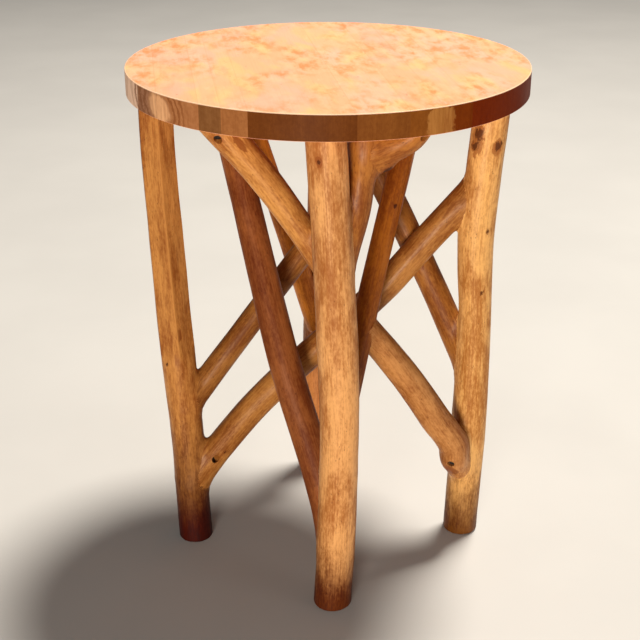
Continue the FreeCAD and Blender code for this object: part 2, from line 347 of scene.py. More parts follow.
# Finish of every branch, apart from what its own look changes. Each branch is darker towards the floor, up to
# a set height.
plainLook = {
    "wood": (0.50, 0.20, 0.05),
    "lowDarkening": (0.20, 0.09, 0.03),
    "lowDarkTop": 0.08,
    "lowDarkDepth": 0.9,
    "lowDarkWave": 0.04,
    "patchSize": 0.014,
    "stretch": 3.0,
    "remains": 0.5,
    "remainsDepth": 0.45,
    "speckDepth": 0.55,
    "scarDepth": 0.75,
    "scarEdge": {"Break Up": 1.7, "Fineness": 1.4},
    "knotDepth": 0.85,
    "knotHalo": 0.4,
    "knotEdge": {"Break Up": 2.3, "Fineness": 1.2},
    "ridgeHighlight": 0.85,
    "rough": 0.46,
    "roughMarks": (0.12, 0.2),  # more on the remains and on the knots
    "relief": {"Strength": 0.6, "Distance": 0.0018},
    "specular": 0.14,
    "coat": 0.05,
    "coatRough": 0.28,
}


def branchFinish(name, look):
    material, tree, shader = newFinish(name)
    grain = attribute(tree, "grain")
    marks = partsOf(tree, attribute(tree, "marks"))
    wood = useGroup(tree, peeledWood, {
        "Grain": grain, "Patch Size": look["patchSize"],
        "Stretch": look["stretch"], "Remains": look["remains"],
    })
    scar = useGroup(tree, wornMask, {"Mask": marks["Y"], "Grain": grain, **look["scarEdge"]})["Worn"]
    knot = useGroup(tree, wornMask, {"Mask": marks["X"], "Grain": grain, **look["knotEdge"]})["Worn"]
    light, dark, bark, deep = (tinted(look["wood"], shares) for shares in woodShares)
    colour = layered(tree, dark, [
        (ramp(tree, wood["Tone"], 0.10, 0.90), light),
        (times(tree, wood["Remains"], look["remainsDepth"]), bark),
        (times(tree, wood["Specks"], look["speckDepth"]), deep),
        (times(tree, scar, look["scarDepth"]), bark),
        (ramp(tree, marks["X"], 0.06, 0.7, 0.0, look["knotHalo"]), bark),
        # a lighter line along the ridge between two flats: painted highlight
        (times(tree, marks["Z"], look["ridgeHighlight"]), light),
        (times(tree, knot, look["knotDepth"]), deep),
    ])
    # darker towards the floor, up to a set height, with a wavy upper edge
    height = partsOf(tree, objectPlace(tree))["Z"]
    wavy = combine(tree, height, times(tree, centred(tree, wood["Tone"]), look["lowDarkWave"]))
    lowDarkening = ramp(tree, wavy, look["lowDarkTop"] * 0.1, look["lowDarkTop"], look["lowDarkDepth"], 0.0)
    rough = ramp(tree, wood["Tone"], 0.1, 0.9, look["rough"] + 0.10, look["rough"] - 0.06)
    bump = put(tree, "Bump", {"Height": wood["Height"], **look["relief"]})
    feed(tree, shader, {
        "Base Color": mixColour(tree, lowDarkening, colour, look["lowDarkening"], "MULTIPLY"),
        "Roughness": weighted(tree, zip((wood["Remains"], knot), look["roughMarks"]), rough),
        "Normal": bump.outputs[0],
        "Specular IOR Level": look["specular"],
        "Coat Weight": look["coat"],
        "Coat Roughness": look["coatRough"],
    })
    return material


# How finely branches are made, and what their feet, flats, knots, scars and screw holes have in common
branchMesh = {
    "points": 56,  # round a ring
    "step": 0.0024,  # from ring to ring
    "lookAhead": 0.004,  # over which a ring takes the direction of its line
    "uneven": [(0.0013, 24, 7, 1), (0.0004, 75, 26, 2)],  # height, cells a metre across, along, and seed
    "arris": 0.0032,  # of a sawn foot
    "arrisSteps": 5,
    "footReach": 0.7,  # of a round foot, in radii
    "footSteps": 12,
    "footPower": 2.2,
    "footTip": 0.12,  # radius of the last ring, in radii
    "flatEnds": 0.06,  # share of the branch over which a flat starts or ends
    "ridgeWidth": 0.26,
    "knotStretch": 0.8,
    "scarDip": 0.0005,
    "holeWidth": 0.0085,
    "holeDepth": 0.0029,
    "drillLength": 0.02,
}
rawBranches = {}  # name: its values, points, grain, marks and faces, until the branches are finished


# Point and thickness on a branch's middle line, smooth through its stations
def lineAt(stations, reach):
    places, spans = stations
    if reach <= spans[0]:
        slope = (places[1] - places[0]) / (spans[1] - spans[0])
        return places[0] + slope * (reach - spans[0])
    if reach >= spans[-1]:
        slope = (places[-1] - places[-2]) / (spans[-1] - spans[-2])
        return places[-1] + slope * (reach - spans[-1])
    index = max(i for i in range(len(spans) - 1) if spans[i] <= reach)
    gap = spans[index + 1] - spans[index]
    part = (reach - spans[index]) / gap

    def slopeAt(i):
        a, b = max(i - 1, 0), min(i + 1, len(spans) - 1)
        return (places[b] - places[a]) / (spans[b] - spans[a])

    return (
        places[index] * (2 * part**3 - 3 * part**2 + 1)
        + slopeAt(index) * ((part**3 - 2 * part**2 + part) * gap)
        + places[index + 1] * (3 * part**2 - 2 * part**3)
        + slopeAt(index + 1) * ((part**3 - part**2) * gap)
    )


def fade(value, low, high):
    part = min(max((value - low) / (high - low), 0.0), 1.0)
    return part * part * (3 - 2 * part)


# How far an angle is turned from a mark's own angle, the short way round
def turnFrom(angle, degrees):
    return math.remainder(angle - math.radians(degrees), 2 * math.pi)


# Where the rings lie along a branch and how much each is drawn in, for a sawn, round or plain foot
def ringPlan(values, total):
    foot = values.get("foot", "plain")
    rings, start = [], 0.0
    if foot == "sawn":
        start = branchMesh["arris"]
        for step in range(branchMesh["arrisSteps"] + 1):
            rise = start * step / branchMesh["arrisSteps"]
            rings.append((rise, math.sqrt(max(start**2 - (start - rise)**2, 0.0)) - start))
    elif foot == "round":
        radius = values["line"][0][3] / 2
        depth = radius * values.get("footReach", branchMesh["footReach"])
        for step in range(branchMesh["footSteps"]):
            ahead = 1 - step / branchMesh["footSteps"]
            share = math.sqrt(max(1 - ahead**branchMesh["footPower"], 0.0))
            rings.append((-depth * ahead, radius * (max(share, branchMesh["footTip"]) - 1)))
    else:
        rings.append((start, 0.0))
    end = total + values.get("above", 0.0)
    count = math.ceil((end - start) / branchMesh["step"])
    return rings + [(start + (end - start) * step / count, 0.0) for step in range(1, count + 1)]


# Radius at an angle where flats are worked on a branch, and how near the ridge between two of them it is
def flattened(flats, angle, share, radius):
    size, weight, planes = radius, 0.0, []
    for flatAngle, low, high, depthShare in flats:
        turn = turnFrom(angle, flatAngle)
        if abs(turn) < 1.2:
            plane = radius * depthShare / math.cos(turn)
            ends = branchMesh["flatEnds"]
            weight = fade(share, low, low + ends) * (1 - fade(share, high - ends, high))
            size = min(size, radius + (plane - radius) * weight)
            planes.append(plane)
    if len(planes) < 2:
        return size, 0.0
    return size, weight * (1 - fade(abs(planes[0] - planes[1]) / radius, 0.0, branchMesh["ridgeWidth"]))


# Rise of the knots and dip of the scars at a point, and how far the point belongs to a knot and to a scar
def marksAt(values, angle, share, total, radius):
    rise = knot = scar = 0.0
    for knotShare, knotAngle, width, lift in values.get("knots", []):
        turn = turnFrom(angle, knotAngle)
        apart = (share - knotShare) * total * branchMesh["knotStretch"]
        away = math.hypot(apart, turn * radius) / width
        if away < 3:
            rise += lift * math.exp(-away * away * 1.2)
            knot = max(knot, math.exp(-(away * 1.3)**2))
    for scarShare, scarAngle, length, width in values.get("scars", []):
        turn = turnFrom(angle, scarAngle)
        away = math.hypot((share - scarShare) * total / length, turn * radius / width)
        if away < 2:
            scar = max(scar, 1 - fade(away, 0.3, 1.3))
            rise -= branchMesh["scarDip"] * (1 - fade(away, 0.5, 1.2))
    return rise, knot, scar


def unevenAt(local, seed):
    return sum(
        noise.noise(Vector((local.x * across, local.y * across, local.z * along)) + seed * part) * height
        for height, across, along, part in branchMesh["uneven"]
    )


# Raw surface of a branch: rings round its line, with flats, knots, scars and small unevenness
def growBranch(values):
    line = values["line"]
    corners = [Vector(point[:3]) for point in line]
    spans = [0.0]
    for a, b in zip(corners, corners[1:]):
        spans.append(spans[-1] + (b - a).length)
    total = spans[-1]
    stations = ([Vector(point) for point in line], spans)
    seed = Vector((values["seed"] * 0.37, values["seed"] * 0.61, values["seed"] * 1.13))
    rings = ringPlan(values, total)
    count, ahead = branchMesh["points"], branchMesh["lookAhead"]
    vertices, grain, marks = [], [], []
    for reach, inset in rings:
        place = lineAt(stations, reach)
        centre, radius = place.to_3d(), place[3] / 2
        along = (lineAt(stations, reach + ahead) - lineAt(stations, reach - ahead)).to_3d().normalized()
        if values.get("upright"):
            along = Vector((0.0, 0.0, 1.0))
        front = Vector((0.0, -1.0, 0.0))
        front = (front - along * front.dot(along)).normalized()
        right = along.cross(front)
        share = reach / total
        calm = 1.0 if inset > -0.5 * radius else 0.3  # less unevenness at the tip of a foot
        for number in range(count):
            angle = 2 * math.pi * number / count
            outward = front * math.cos(angle) + right * math.sin(angle)
            local = Vector((math.cos(angle) * radius, math.sin(angle) * radius, reach))
            size, ridge = flattened(values.get("flats", []), angle, share, radius)
            rise, knot, scar = marksAt(values, angle, share, total, radius)
            swell = unevenAt(local, seed) + rise
            vertices.append(centre + outward * (size + swell * calm + inset))
            grain.append(local + seed * 0.3)
            marks.append((knot, scar, ridge))
    faces = bandFaces(len(rings), count)
    last = (len(rings) - 1) * count
    faces.append(tuple(reversed(range(count))))
    faces.append(tuple(range(last, last + count)))
    rawBranches[values["name"]] = {
        "values": values, "vertices": vertices, "grain": grain, "marks": marks, "faces": faces,
        "tree": BVHTree.FromPolygons([tuple(v) for v in vertices], faces),
    }


# Signed distance from a surface, and the way straight out from it
def distanceFrom(tree, point):
    nearest, normal, _, distance = tree.find_nearest(point)
    away = point - nearest
    if away.dot(normal) < 0:
        return -distance, (-away).normalized() if distance > 1e-6 else normal
    return distance, away.normalized() if distance > 1e-6 else normal


blending = {
    "passes": 5,
    "longestStep": 0.4,  # of one pass, as a share of the curve's reach
    "leastSlope": 0.12,
    "buried": 0.005,  # points deeper in the other branch stay where they are
    "hidden": 0.0012,  # points nearer to the other branch are sunk a little, so that one skin shows
    "sink": 0.0004,
}


# Grows two branches together: the points of each near the other move out to a smooth common surface
def growTogether(first, second, reachOut):
    longest = reachOut * blending["longestStep"]
    moved = {}
    for own, other in ((first, second), (second, first)):
        ownTree, otherTree = rawBranches[own]["tree"], rawBranches[other]["tree"]
        places = rawBranches[own]["vertices"]
        moves = {}
        for index, start in enumerate(places):
            if otherTree.find_nearest(start, reachOut)[0] is None:
                continue
            apart, _ = distanceFrom(otherTree, start)
            if apart > reachOut or apart < -blending["buried"]:
                continue
            below = 0.0 if apart > blending["hidden"] else blending["sink"]
            point = start.copy()
            for _ in range(blending["passes"]):
                ownAway, ownOut = distanceFrom(ownTree, point)
                otherAway, otherOut = distanceFrom(otherTree, point)
                weight = min(max(0.5 + 0.5 * (otherAway - ownAway) / reachOut, 0.0), 1.0)
                level = otherAway * (1 - weight) + ownAway * weight - reachOut * weight * (1 - weight)
                slope = ownOut * weight + otherOut * (1 - weight)
                step = slope * (-(level + below) / max(slope.length_squared, blending["leastSlope"]))
                if step.length > longest:
                    step = step.normalized() * longest
                point = point + step
            moves[index] = point
        moved[own] = moves
    for own, moves in moved.items():
        for index, point in moves.items():
            rawBranches[own]["vertices"][index] = point


# Turns a raw branch into a piece: cut level under the top, bored for its screw, and given its wood
def finishBranch(name):
    raw = rawBranches[name]
    values = raw["values"]
    mesh = bpy.data.meshes.new(name)
    mesh.from_pydata([tuple(v) for v in raw["vertices"]], [], raw["faces"])
    for label in ("grain", "marks"):
        layer = mesh.attributes.new(label, "FLOAT_VECTOR", "POINT")
        layer.data.foreach_set("vector", [x for v in raw[label] for x in v])
    shape = bmesh.new()
    shape.from_mesh(mesh)
    if values.get("above", 0.0) > 0:
        sawOff(shape, (0, 0, underside), (0, 0, 1))
    bmesh.ops.recalc_face_normals(shape, faces=shape.faces[:])
    shape.to_mesh(mesh)
    shape.free()
    piece = addObject(name, mesh)
    if "hole" in values:
        mesh = boreHole(piece, values["hole"])
    smoothUpTo(mesh, 30)
    mesh.materials.clear()
    mesh.materials.append(branchFinish(name + "Wood", {**plainLook, **values.get("look", {})}))
    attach(piece, "root")
    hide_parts(values["node"])
    print("branch made:", name, len(mesh.vertices), "points")


# Round hole down to a screw's sunk head, from a place on the surface and along a direction
def boreHole(piece, hole):
    aim = Vector(hole["aim"]).normalized()
    radius, length = branchMesh["holeWidth"] / 2, branchMesh["drillLength"]
    shape = bmesh.new()
    bmesh.ops.create_cone(shape, cap_ends=True, segments=28, radius1=radius, radius2=radius, depth=length)
    turn = aim.to_track_quat("Z", "Y").to_matrix().to_4x4()
    middle = Vector(hole["place"]) + aim * (branchMesh["holeDepth"] - length / 2)
    bmesh.ops.transform(shape, matrix=Matrix.Translation(middle) @ turn, verts=shape.verts[:])
    drill = bpy.data.meshes.new("drill")
    shape.to_mesh(drill)
    shape.free()
    drillObject = addObject("drill", drill)
    old = piece.data
    kept = {}
    for label in ("grain", "marks"):
        kept[label] = [Vector(item.vector) for item in old.attributes[label].data]
    finder = KDTree(len(old.vertices))
    for index, vertex in enumerate(old.vertices):
        finder.insert(vertex.co, index)
    finder.balance()
    bore = piece.modifiers.new("bore", "BOOLEAN")
    bore.object = drillObject
    bore.operation = "DIFFERENCE"
    bore.solver = "EXACT"
    evaluated = piece.evaluated_get(bpy.context.evaluated_depsgraph_get())
    mesh = bpy.data.meshes.new_from_object(evaluated)
    piece.modifiers.clear()
    piece.data = mesh
    for label, source in kept.items():
        if label in mesh.attributes:
            mesh.attributes.remove(mesh.attributes[label])
        layer = mesh.attributes.new(label, "FLOAT_VECTOR", "POINT")
        for index, vertex in enumerate(mesh.vertices):
            near = finder.find_n(vertex.co, 3)
            if near[0][2] < 1e-7:
                layer.data[index].vector = source[near[0][1]]
                continue
            shares = [1 / (item[2] + 1e-6) for item in near]
            mixed = sum((source[item[1]] * part for item, part in zip(near, shares)), Vector((0.0, 0.0, 0.0)))
            layer.data[index].vector = mixed / sum(shares)
    bpy.data.objects.remove(drillObject)
    return mesh


# Each branch: its line as x, y, z and thickness; flats as angle, from, to and depth; knots as place, angle,
# width and height; scars as place, angle, length and width. Places are shares of the line, and angles run in
# degrees from the front to the right. A branch with "above" goes on past its line and is cut under the top.
# Each branch's wood colour is set so that the branch comes out as bright as it looks in place under these
# lamps, so it holds painted light and shade as well as the wood's own tone
leftLeg = {
    "name": "leftLeg", "node": "leg_left", "seed": 1, "upright": True, "foot": "sawn",
    "line": [
        (-0.1661, -0.0189, 0.0000, 0.0425), (-0.1714, -0.0172, 0.1433, 0.0400),
        (-0.1813, -0.0152, 0.3151, 0.0398), (-0.1887, -0.0109, 0.4812, 0.0375),
        (-0.1896, -0.0121, 0.5730, 0.0375),
    ],
    "flats": [(-26.1, 0.42, 1.2, 0.785), (51.9, 0.42, 1.2, 0.785)],
    "knots": [(0.43, -38, 0.0025, 0.0006)],
    "scars": [(0.497, 20, 0.010, 0.005)],
    "look": {
        "wood": (0.37, 0.139, 0.026),
        "lowDarkTop": 0.20, "lowDarkDepth": 1.0, "lowDarkening": (0.11, 0.018, 0.002),
    },
}
growBranch(leftLeg)

frontLeg = {
    "name": "frontLeg", "node": "leg_front", "seed": 2, "upright": True, "foot": "sawn",
    "line": [
        (0.0059, -0.1580, 0.0000, 0.0445), (0.0092, -0.1599, 0.0746, 0.0442),
        (0.0129, -0.1639, 0.2294, 0.0426), (0.0092, -0.1651, 0.3440, 0.0434),
        (0.0015, -0.1705, 0.4871, 0.0424), (-0.0040, -0.1727, 0.5730, 0.0420),
    ],
    "knots": [(0.951, -21, 0.0028, 0.0006)],
    "scars": [(0.951, -22, 0.007, 0.005)],
    "look": {"wood": (0.475, 0.207, 0.057), "remains": 0.4, "lowDarkTop": 0.11, "lowDarkDepth": 1.0},
}
growBranch(frontLeg)

rightLeg = {
    "name": "rightLeg", "node": "leg_right", "seed": 3, "upright": True, "foot": "sawn",
    "line": [
        (0.1709, -0.0020, 0.0000, 0.0420), (0.1751, -0.0005, 0.1490, 0.0420),
        (0.1756, -0.0035, 0.2865, 0.0388), (0.1712, -0.0041, 0.3955, 0.0410),
        (0.1762, -0.0046, 0.4814, 0.0399), (0.1826, -0.0051, 0.5730, 0.0405),
    ],
    "knots": [
        (0.915, -36, 0.0075, 0.0018), (0.890, -50, 0.0065, 0.0014), (0.893, 27, 0.0065, 0.0010),
        (0.716, 30, 0.003, 0.0008), (0.585, 15, 0.0028, 0.0006),
    ],
    "scars": [(0.905, -42, 0.026, 0.0095), (0.89, 26, 0.012, 0.007)],
    "look": {
        "wood": (0.553, 0.261, 0.066), "remains": 0.2,
        "lowDarkTop": 0.12, "lowDarkDepth": 1.0, "lowDarkening": (0.20, 0.12, 0.04),
    },
}
growBranch(rightLeg)

backLeg = {
    "name": "backLeg", "node": "leg_back", "seed": 4, "upright": True, "foot": "sawn",
    "line": [
        (-0.0099, 0.1496, 0.0000, 0.0400), (-0.0122, 0.1568, 0.1719, 0.0376),
        (-0.0048, 0.1611, 0.4011, 0.0379), (-0.0059, 0.1661, 0.5730, 0.0360),
    ],
    "knots": [(0.6, 150, 0.007, 0.0015)],
    "scars": [(0.4, 185, 0.02, 0.006)],
    "look": {"wood": (0.40, 0.135, 0.030)},
}
growBranch(backLeg)

frontLeftBrace = {
    "name": "frontLeftBrace", "node": "brace_front_left", "seed": 5, "above": 0.03,
    "line": [
        (0.0103, -0.1572, 0.0574, 0.0385), (-0.0020, -0.1297, 0.1204, 0.0384),
        (-0.0561, -0.0552, 0.2886, 0.0360), (-0.0899, 0.0049, 0.4164, 0.0336),
        (-0.1298, 0.0700, 0.5730, 0.0345),
    ],
    "look": {"wood": (0.20, 0.054, 0.010), "lowDarkTop": 0.02, "rough": 0.55, "coat": 0.02},
}
growBranch(frontLeftBrace)

frontRightBrace = {
    "name": "frontRightBrace", "node": "brace_front_right", "seed": 6, "above": 0.03,
    "line": [
        (0.0031, -0.1625, 0.1749, 0.0280), (0.0323, -0.1008, 0.2948, 0.0274),
        (0.0688, -0.0289, 0.4340, 0.0262), (0.1063, 0.0429, 0.5730, 0.0260),
    ],
    "knots": [(0.67, 14, 0.003, 0.0008)],
    # darkened as painted shade: this brace lies in shade under the top
    "look": {"wood": (0.249, 0.067, 0.004)},
}
growBranch(frontRightBrace)

kneeBrace = {
    "name": "kneeBrace", "node": "brace_knee", "seed": 7, "above": 0.03,
    "line": [
        (0.0001, -0.1455, 0.4138, 0.0300), (-0.0326, -0.1483, 0.4668, 0.0305),
        (-0.0718, -0.1513, 0.5246, 0.0324), (-0.1111, -0.1540, 0.5730, 0.0345),
    ],
    "hole": {"place": (-0.1090, -0.1680, 0.5616), "aim": (-0.051, 0.818, 0.573)},
    "scars": [(0.86, 28, 0.014, 0.0045)],
    "look": {"wood": (0.40, 0.158, 0.031)},
}
growBranch(kneeBrace)

crossBrace = {
    "name": "crossBrace", "node": "brace_cross", "seed": 8,
    "line": [
        (-0.1689, -0.0180, 0.0751, 0.0380), (-0.1330, -0.0157, 0.1256, 0.0352),
        (-0.0742, -0.0123, 0.1968, 0.0349), (0.0606, -0.0086, 0.3309, 0.0336),
        (0.1172, -0.0040, 0.3968, 0.0330), (0.1747, 0.0006, 0.4635, 0.0340),
    ],
    "hole": {"place": (-0.1402, -0.0279, 0.1135), "aim": (-0.508, 0.609, -0.609)},
    "knots": [(0.13, 20, 0.003, 0.0005)],
    "look": {"wood": (0.309, 0.117, 0.022), "remains": 0.8},
}
growBranch(crossBrace)

lowBrace = {
    "name": "lowBrace", "node": "brace_low", "seed": 9, "foot": "round", "footReach": 1.3,
    "line": [
        (0.1600, -0.0205, 0.1030, 0.0285), (0.1555, -0.0305, 0.1190, 0.0345),
        (0.1530, -0.0352, 0.1400, 0.0364), (0.1432, -0.0400, 0.1600, 0.0362),
        (0.1292, -0.0460, 0.1819, 0.0358), (0.1019, -0.0587, 0.2297, 0.0345),
        (0.0693, -0.0722, 0.2798, 0.0339), (0.0391, -0.0835, 0.3206, 0.0340),
    ],
    "hole": {"place": (0.1507, -0.0474, 0.1212), "aim": (0.4, 0.9, 0.17)},
    "scars": [(0.05, -25, 0.012, 0.010)],
    "look": {"wood": (0.354, 0.139, 0.033)},
}
growBranch(lowBrace)

leftBrace = {
    "name": "leftBrace", "node": "brace_left", "seed": 10, "above": 0.03,
    "line": [
        (-0.1734, -0.0168, 0.1782, 0.0305), (-0.0631, 0.0311, 0.3167, 0.0300),
        (0.0474, 0.0820, 0.4541, 0.0286), (0.1430, 0.1199, 0.5730, 0.0290),
    ],
    "look": {"wood": (0.247, 0.088, 0.015)},
}
growBranch(leftBrace)

backBrace = {
    "name": "backBrace", "node": "brace_back", "seed": 11, "foot": "round", "above": 0.03,
    "line": [
        (-0.0129, 0.1330, 0.2234, 0.0290), (-0.0627, 0.1279, 0.3985, 0.0262),
        (-0.1140, 0.1199, 0.5730, 0.0255),
    ],
    "look": {"wood": (0.50, 0.149, 0.012)},
}
growBranch(backBrace)

rightBrace = {
    "name": "rightBrace", "node": "brace_right", "seed": 12, "above": 0.03,
    "line": [
        (0.1754, 0.0072, 0.2206, 0.0340), (0.1086, 0.0277, 0.3626, 0.0316),
        (0.0562, 0.0430, 0.4680, 0.0333), (0.0031, 0.0583, 0.5730, 0.0330),
    ],
    "look": {"wood": (0.274, 0.092, 0.014)},
}
growBranch(rightBrace)

forkStem = {
    "name": "forkStem", "node": "brace_fork", "seed": 13, "above": 0.03,
    "line": [
        (0.0075, -0.1610, 0.4001, 0.0290), (0.0186, -0.1560, 0.4427, 0.0288),
        (0.0294, -0.1510, 0.4854, 0.0292), (0.0330, -0.1470, 0.5291, 0.0300),
        (0.0352, -0.1425, 0.5730, 0.0350),
    ],
    "look": {"wood": (0.267, 0.088, 0.012)},
}
growBranch(forkStem)

forkArm = {
    "name": "forkArm", "node": "brace_fork", "seed": 14, "above": 0.03,
    "line": [
        (0.0350, -0.1449, 0.5379, 0.0260), (0.0552, -0.1455, 0.5443, 0.0302),
        (0.0801, -0.1465, 0.5560, 0.0288), (0.0939, -0.1474, 0.5730, 0.0270),
    ],
    "knots": [(0.28, 78, 0.008, 0.006)],
    "hole": {"place": (0.0942, -0.1576, 0.5607), "aim": (-0.252, 0.756, 0.605)},
    "look": {"wood": (0.267, 0.088, 0.012)},
}
growBranch(forkArm)

# Which branches have grown or been worked together, and how far their common curve reaches
joins = [
    ("forkStem", "forkArm", 0.020),
    ("leftLeg", "crossBrace", 0.010),
    ("leftLeg", "leftBrace", 0.009),
    ("rightLeg", "crossBrace", 0.007),
    ("rightLeg", "rightBrace", 0.009),
    ("rightLeg", "lowBrace", 0.018),
    ("frontLeg", "forkStem", 0.006),
    ("frontLeg", "kneeBrace", 0.005),
    ("frontLeg", "frontLeftBrace", 0.005),
    ("frontLeg", "frontRightBrace", 0.004),
    ("frontRightBrace", "lowBrace", 0.003),
    ("backLeg", "backBrace", 0.005),
]
for first, second, reachOut in joins:
    growTogether(first, second, reachOut)
for name in rawBranches:
    finishBranch(name)


# Top: a disc of glued boards

boards = {
    "radius": 0.22,
    "thickness": 0.027,
    "arris": 0.0008,
    "arrisSteps": 4,
    "turn": math.radians(8),
    "seams": [-0.86, -0.68, -0.588, -0.477, -0.02, 0.216, 0.375, 0.521],  # in radii from the middle
    "seamWidth": 0.0005,
    "rimPoints": 1080,
}
# Noises over the boards: scales by the metre across, from front to back and up
boardNoises = {
    "yellow": {
        "scales": (34.0, 14.0, 34.0), "place": (4.0, 1.0, 0.0), "detail": 4.0, "rough": 0.55, "twist": 0.3,
    },
    "pink": {
        "scales": (20.0, 9.0, 20.0), "place": (0.0, 7.0, 2.0), "detail": 4.0, "rough": 0.55, "twist": 0.4,
    },
    "warm": {"scales": (14.0, 8.0, 14.0), "place": (0.3, 0.0, 0.0), "twist": 0.4},
    "blots": {
        "scales": (78.0, 34.0, 78.0), "place": (1.0, 2.0, 0.0), "detail": 5.0, "rough": 0.68, "twist": 0.25,
    },
    "streak": {"scales": (330.0, 330.0, 28.0), "detail": 4.0, "rough": 0.65},
    "stripes": {"scales": (75.0, 75.0, 12.0), "detail": 4.0, "rough": 0.6},
    "mottling": {"scales": (260.0, 260.0, 210.0), "detail": 4.0, "rough": 0.6},
    "tears": {"scales": (170.0, 170.0, 120.0), "detail": 4.0, "rough": 0.65},
}
# Face: peach wood with yellow streaks, pink clouds and orange blots drawn out from front to back
faceLook = {
    "wood": (0.86, 0.400, 0.22),
    "yellow": (0.92, 0.46, 0.20),
    "pink": (0.86, 0.40, 0.30),
    "blot": (0.84, 0.22, 0.07),
    "pale": (0.95, 0.56, 0.34),
    "fibre": (0.62, 0.22, 0.09),
    "speck": (0.30, 0.10, 0.08),
    "specks": {
        "stretch": (1.0, 0.6, 1.0), "scale": 150.0, "size": (0.06, 0.20),
        "chance": {"scale": 45.0, "detail": 2.0}, "where": (0.56, 0.66),
    },
    "seam": (0.40, 0.15, 0.06),
    # pale tone along the top's arris: rubbed wear and a painted highlight
    "worn": (0.90, 0.62, 0.40),
    "rubbedAndHighlitEdge": {"Break Up": 0.7, "Fineness": 0.8},
}
# Darker and lighter wood of the boards' ends, as shares of an end's own colour
endShares = [(0.62, 0.50, 0.40), (1.45, 1.55, 1.7)]
# Pale spots on the boards' ends: a painted varnish glare at the left corner, a knot, and sapwood
cornerGlare = {
    "across": -0.2150, "rise": 0.0135, "size": (0.0080, 0.0300), "ragged": 0.15, "tone": (0.90, 0.60, 0.42),
}
knotSpot = {
    "across": -0.1862, "rise": 0.0120, "size": (0.0100, 0.0150), "ragged": 0.5, "tone": (0.76, 0.40, 0.19),
    "tilt": -0.25, "knot": True,
}
sapSpot = {
    "across": 0.0797, "rise": 0.0110, "size": (0.0150, 0.0165), "ragged": 1.6, "tone": (0.38, 0.155, 0.036),
}
# Each board: colour of its ends, where its heart lies from its own middle, the gap of its rings, and where it
# has them, how strongly the rings show on its ends and its pale spots
# the ends' dark colours are partly painted shade of the rim, which faces away from the light
boardLooks = [
    {
        "end": (0.33, 0.150, 0.075), "heart": (-0.05, -0.010), "ringGap": 0.0036, "ringDepth": 0.4,
        "pale": [cornerGlare, knotSpot],
    },
    {"end": (0.37, 0.148, 0.054), "heart": (0.004, -0.03), "ringGap": 0.0040, "pale": [knotSpot]},
    {"end": (0.195, 0.078, 0.024), "heart": (0.30, 0.02), "ringGap": 0.0032},
    {"end": (0.30, 0.112, 0.034), "heart": (-0.20, 0.05), "ringGap": 0.0034},
    {"end": (0.128, 0.035, 0.005), "heart": (0.35, -0.10), "ringGap": 0.0030},
    {"end": (0.185, 0.058, 0.010), "heart": (-0.30, 0.08), "ringGap": 0.0034},
    {"end": (0.20, 0.060, 0.008), "heart": (0.25, 0.06), "ringGap": 0.0030, "pale": [sapSpot]},
    {"end": (0.160, 0.028, 0.001), "heart": (-0.18, -0.06), "ringGap": 0.0034, "pale": [sapSpot]},
    {"end": (0.155, 0.018, 0.0005), "heart": (0.40, 0.05), "ringGap": 0.0032},
]


# Face of a board: its clouds and blots, a shade of its own, specks, and dark lines at the seams
def paintFace(tree, place, noises, fibres, number):
    blotted = times(tree, ramp(tree, noises["warm"], 0.36, 0.60), ramp(tree, noises["blots"], 0.43, 0.68))
    colour = layered(tree, faceLook["wood"], [
        (ramp(tree, noises["yellow"], 0.46, 0.66, 0.0, 0.75), faceLook["yellow"]),
        (ramp(tree, noises["pink"], 0.44, 0.62, 0.0, 0.6), faceLook["pink"]),
        (times(tree, blotted, 0.85), faceLook["blot"]),
        (ramp(tree, noises["blots"], 0.30, 0.46, 0.22, 0.0), faceLook["pale"]),
        (ramp(tree, fibres, 0.45, 0.75, 0.0, 0.14), faceLook["fibre"]),
    ])
    shade = 1.0 + 0.03 * math.sin(number * 2.4)
    colour = mixColour(tree, 1.0, colour, (shade, shade, shade), "MULTIPLY")
    specks = specksAt(tree, place, **faceLook["specks"])
    colour = mixColour(tree, times(tree, specks, 0.5), colour, faceLook["speck"])
    seamPlace = partsOf(tree, place)["X"]
    for seam in boards["seams"]:
        gap = {0: seamPlace, 1: seam * boards["radius"], 2: boards["seamWidth"]}
        line = put(tree, "Math", gap, operation="COMPARE").outputs[0]
        colour = mixColour(tree, times(tree, line, 0.14), colour, faceLook["seam"])
    return colour


# Pale spot on a board's end: a knot with dark arcs round it, or else a patch with squarer sides
def paintSpot(tree, spot, place, noises, colour, darkEnd):
    wide, tall = spot["size"]
    local = put(tree, "Mapping", {
        "Vector": place, "Location": (spot["across"], 0.0, underside + spot["rise"]),
        "Rotation": (0.0, spot.get("tilt", 0.0), 0.0), "Scale": (wide, 1000.0, tall),
    }, vector_type="TEXTURE").outputs[0]
    if not spot.get("knot"):
        local = combineVectors(tree, local, local, "MULTIPLY")
    away = weighted(tree, [(centred(tree, noises["tears"]), spot["ragged"])], lengthOf(tree, local))
    if spot.get("knot"):
        wave = put(tree, "Math", {0: times(tree, away, 15.0)}, operation="SINE").outputs[0]
        arcs = times(tree, ramp(tree, wave, -0.5, 0.8), ramp(tree, away, 1.9, 3.0, 0.9, 0.0))
        colour = mixColour(tree, arcs, colour, darkEnd)
    inside = ramp(tree, away, 0.75, 1.15, 0.9, 0.0)
    spotMask = times(tree, inside, ramp(tree, noises["streak"], 0.35, 0.65, 1.0, 0.55))
    return mixColour(tree, spotMask, colour, spot["tone"])


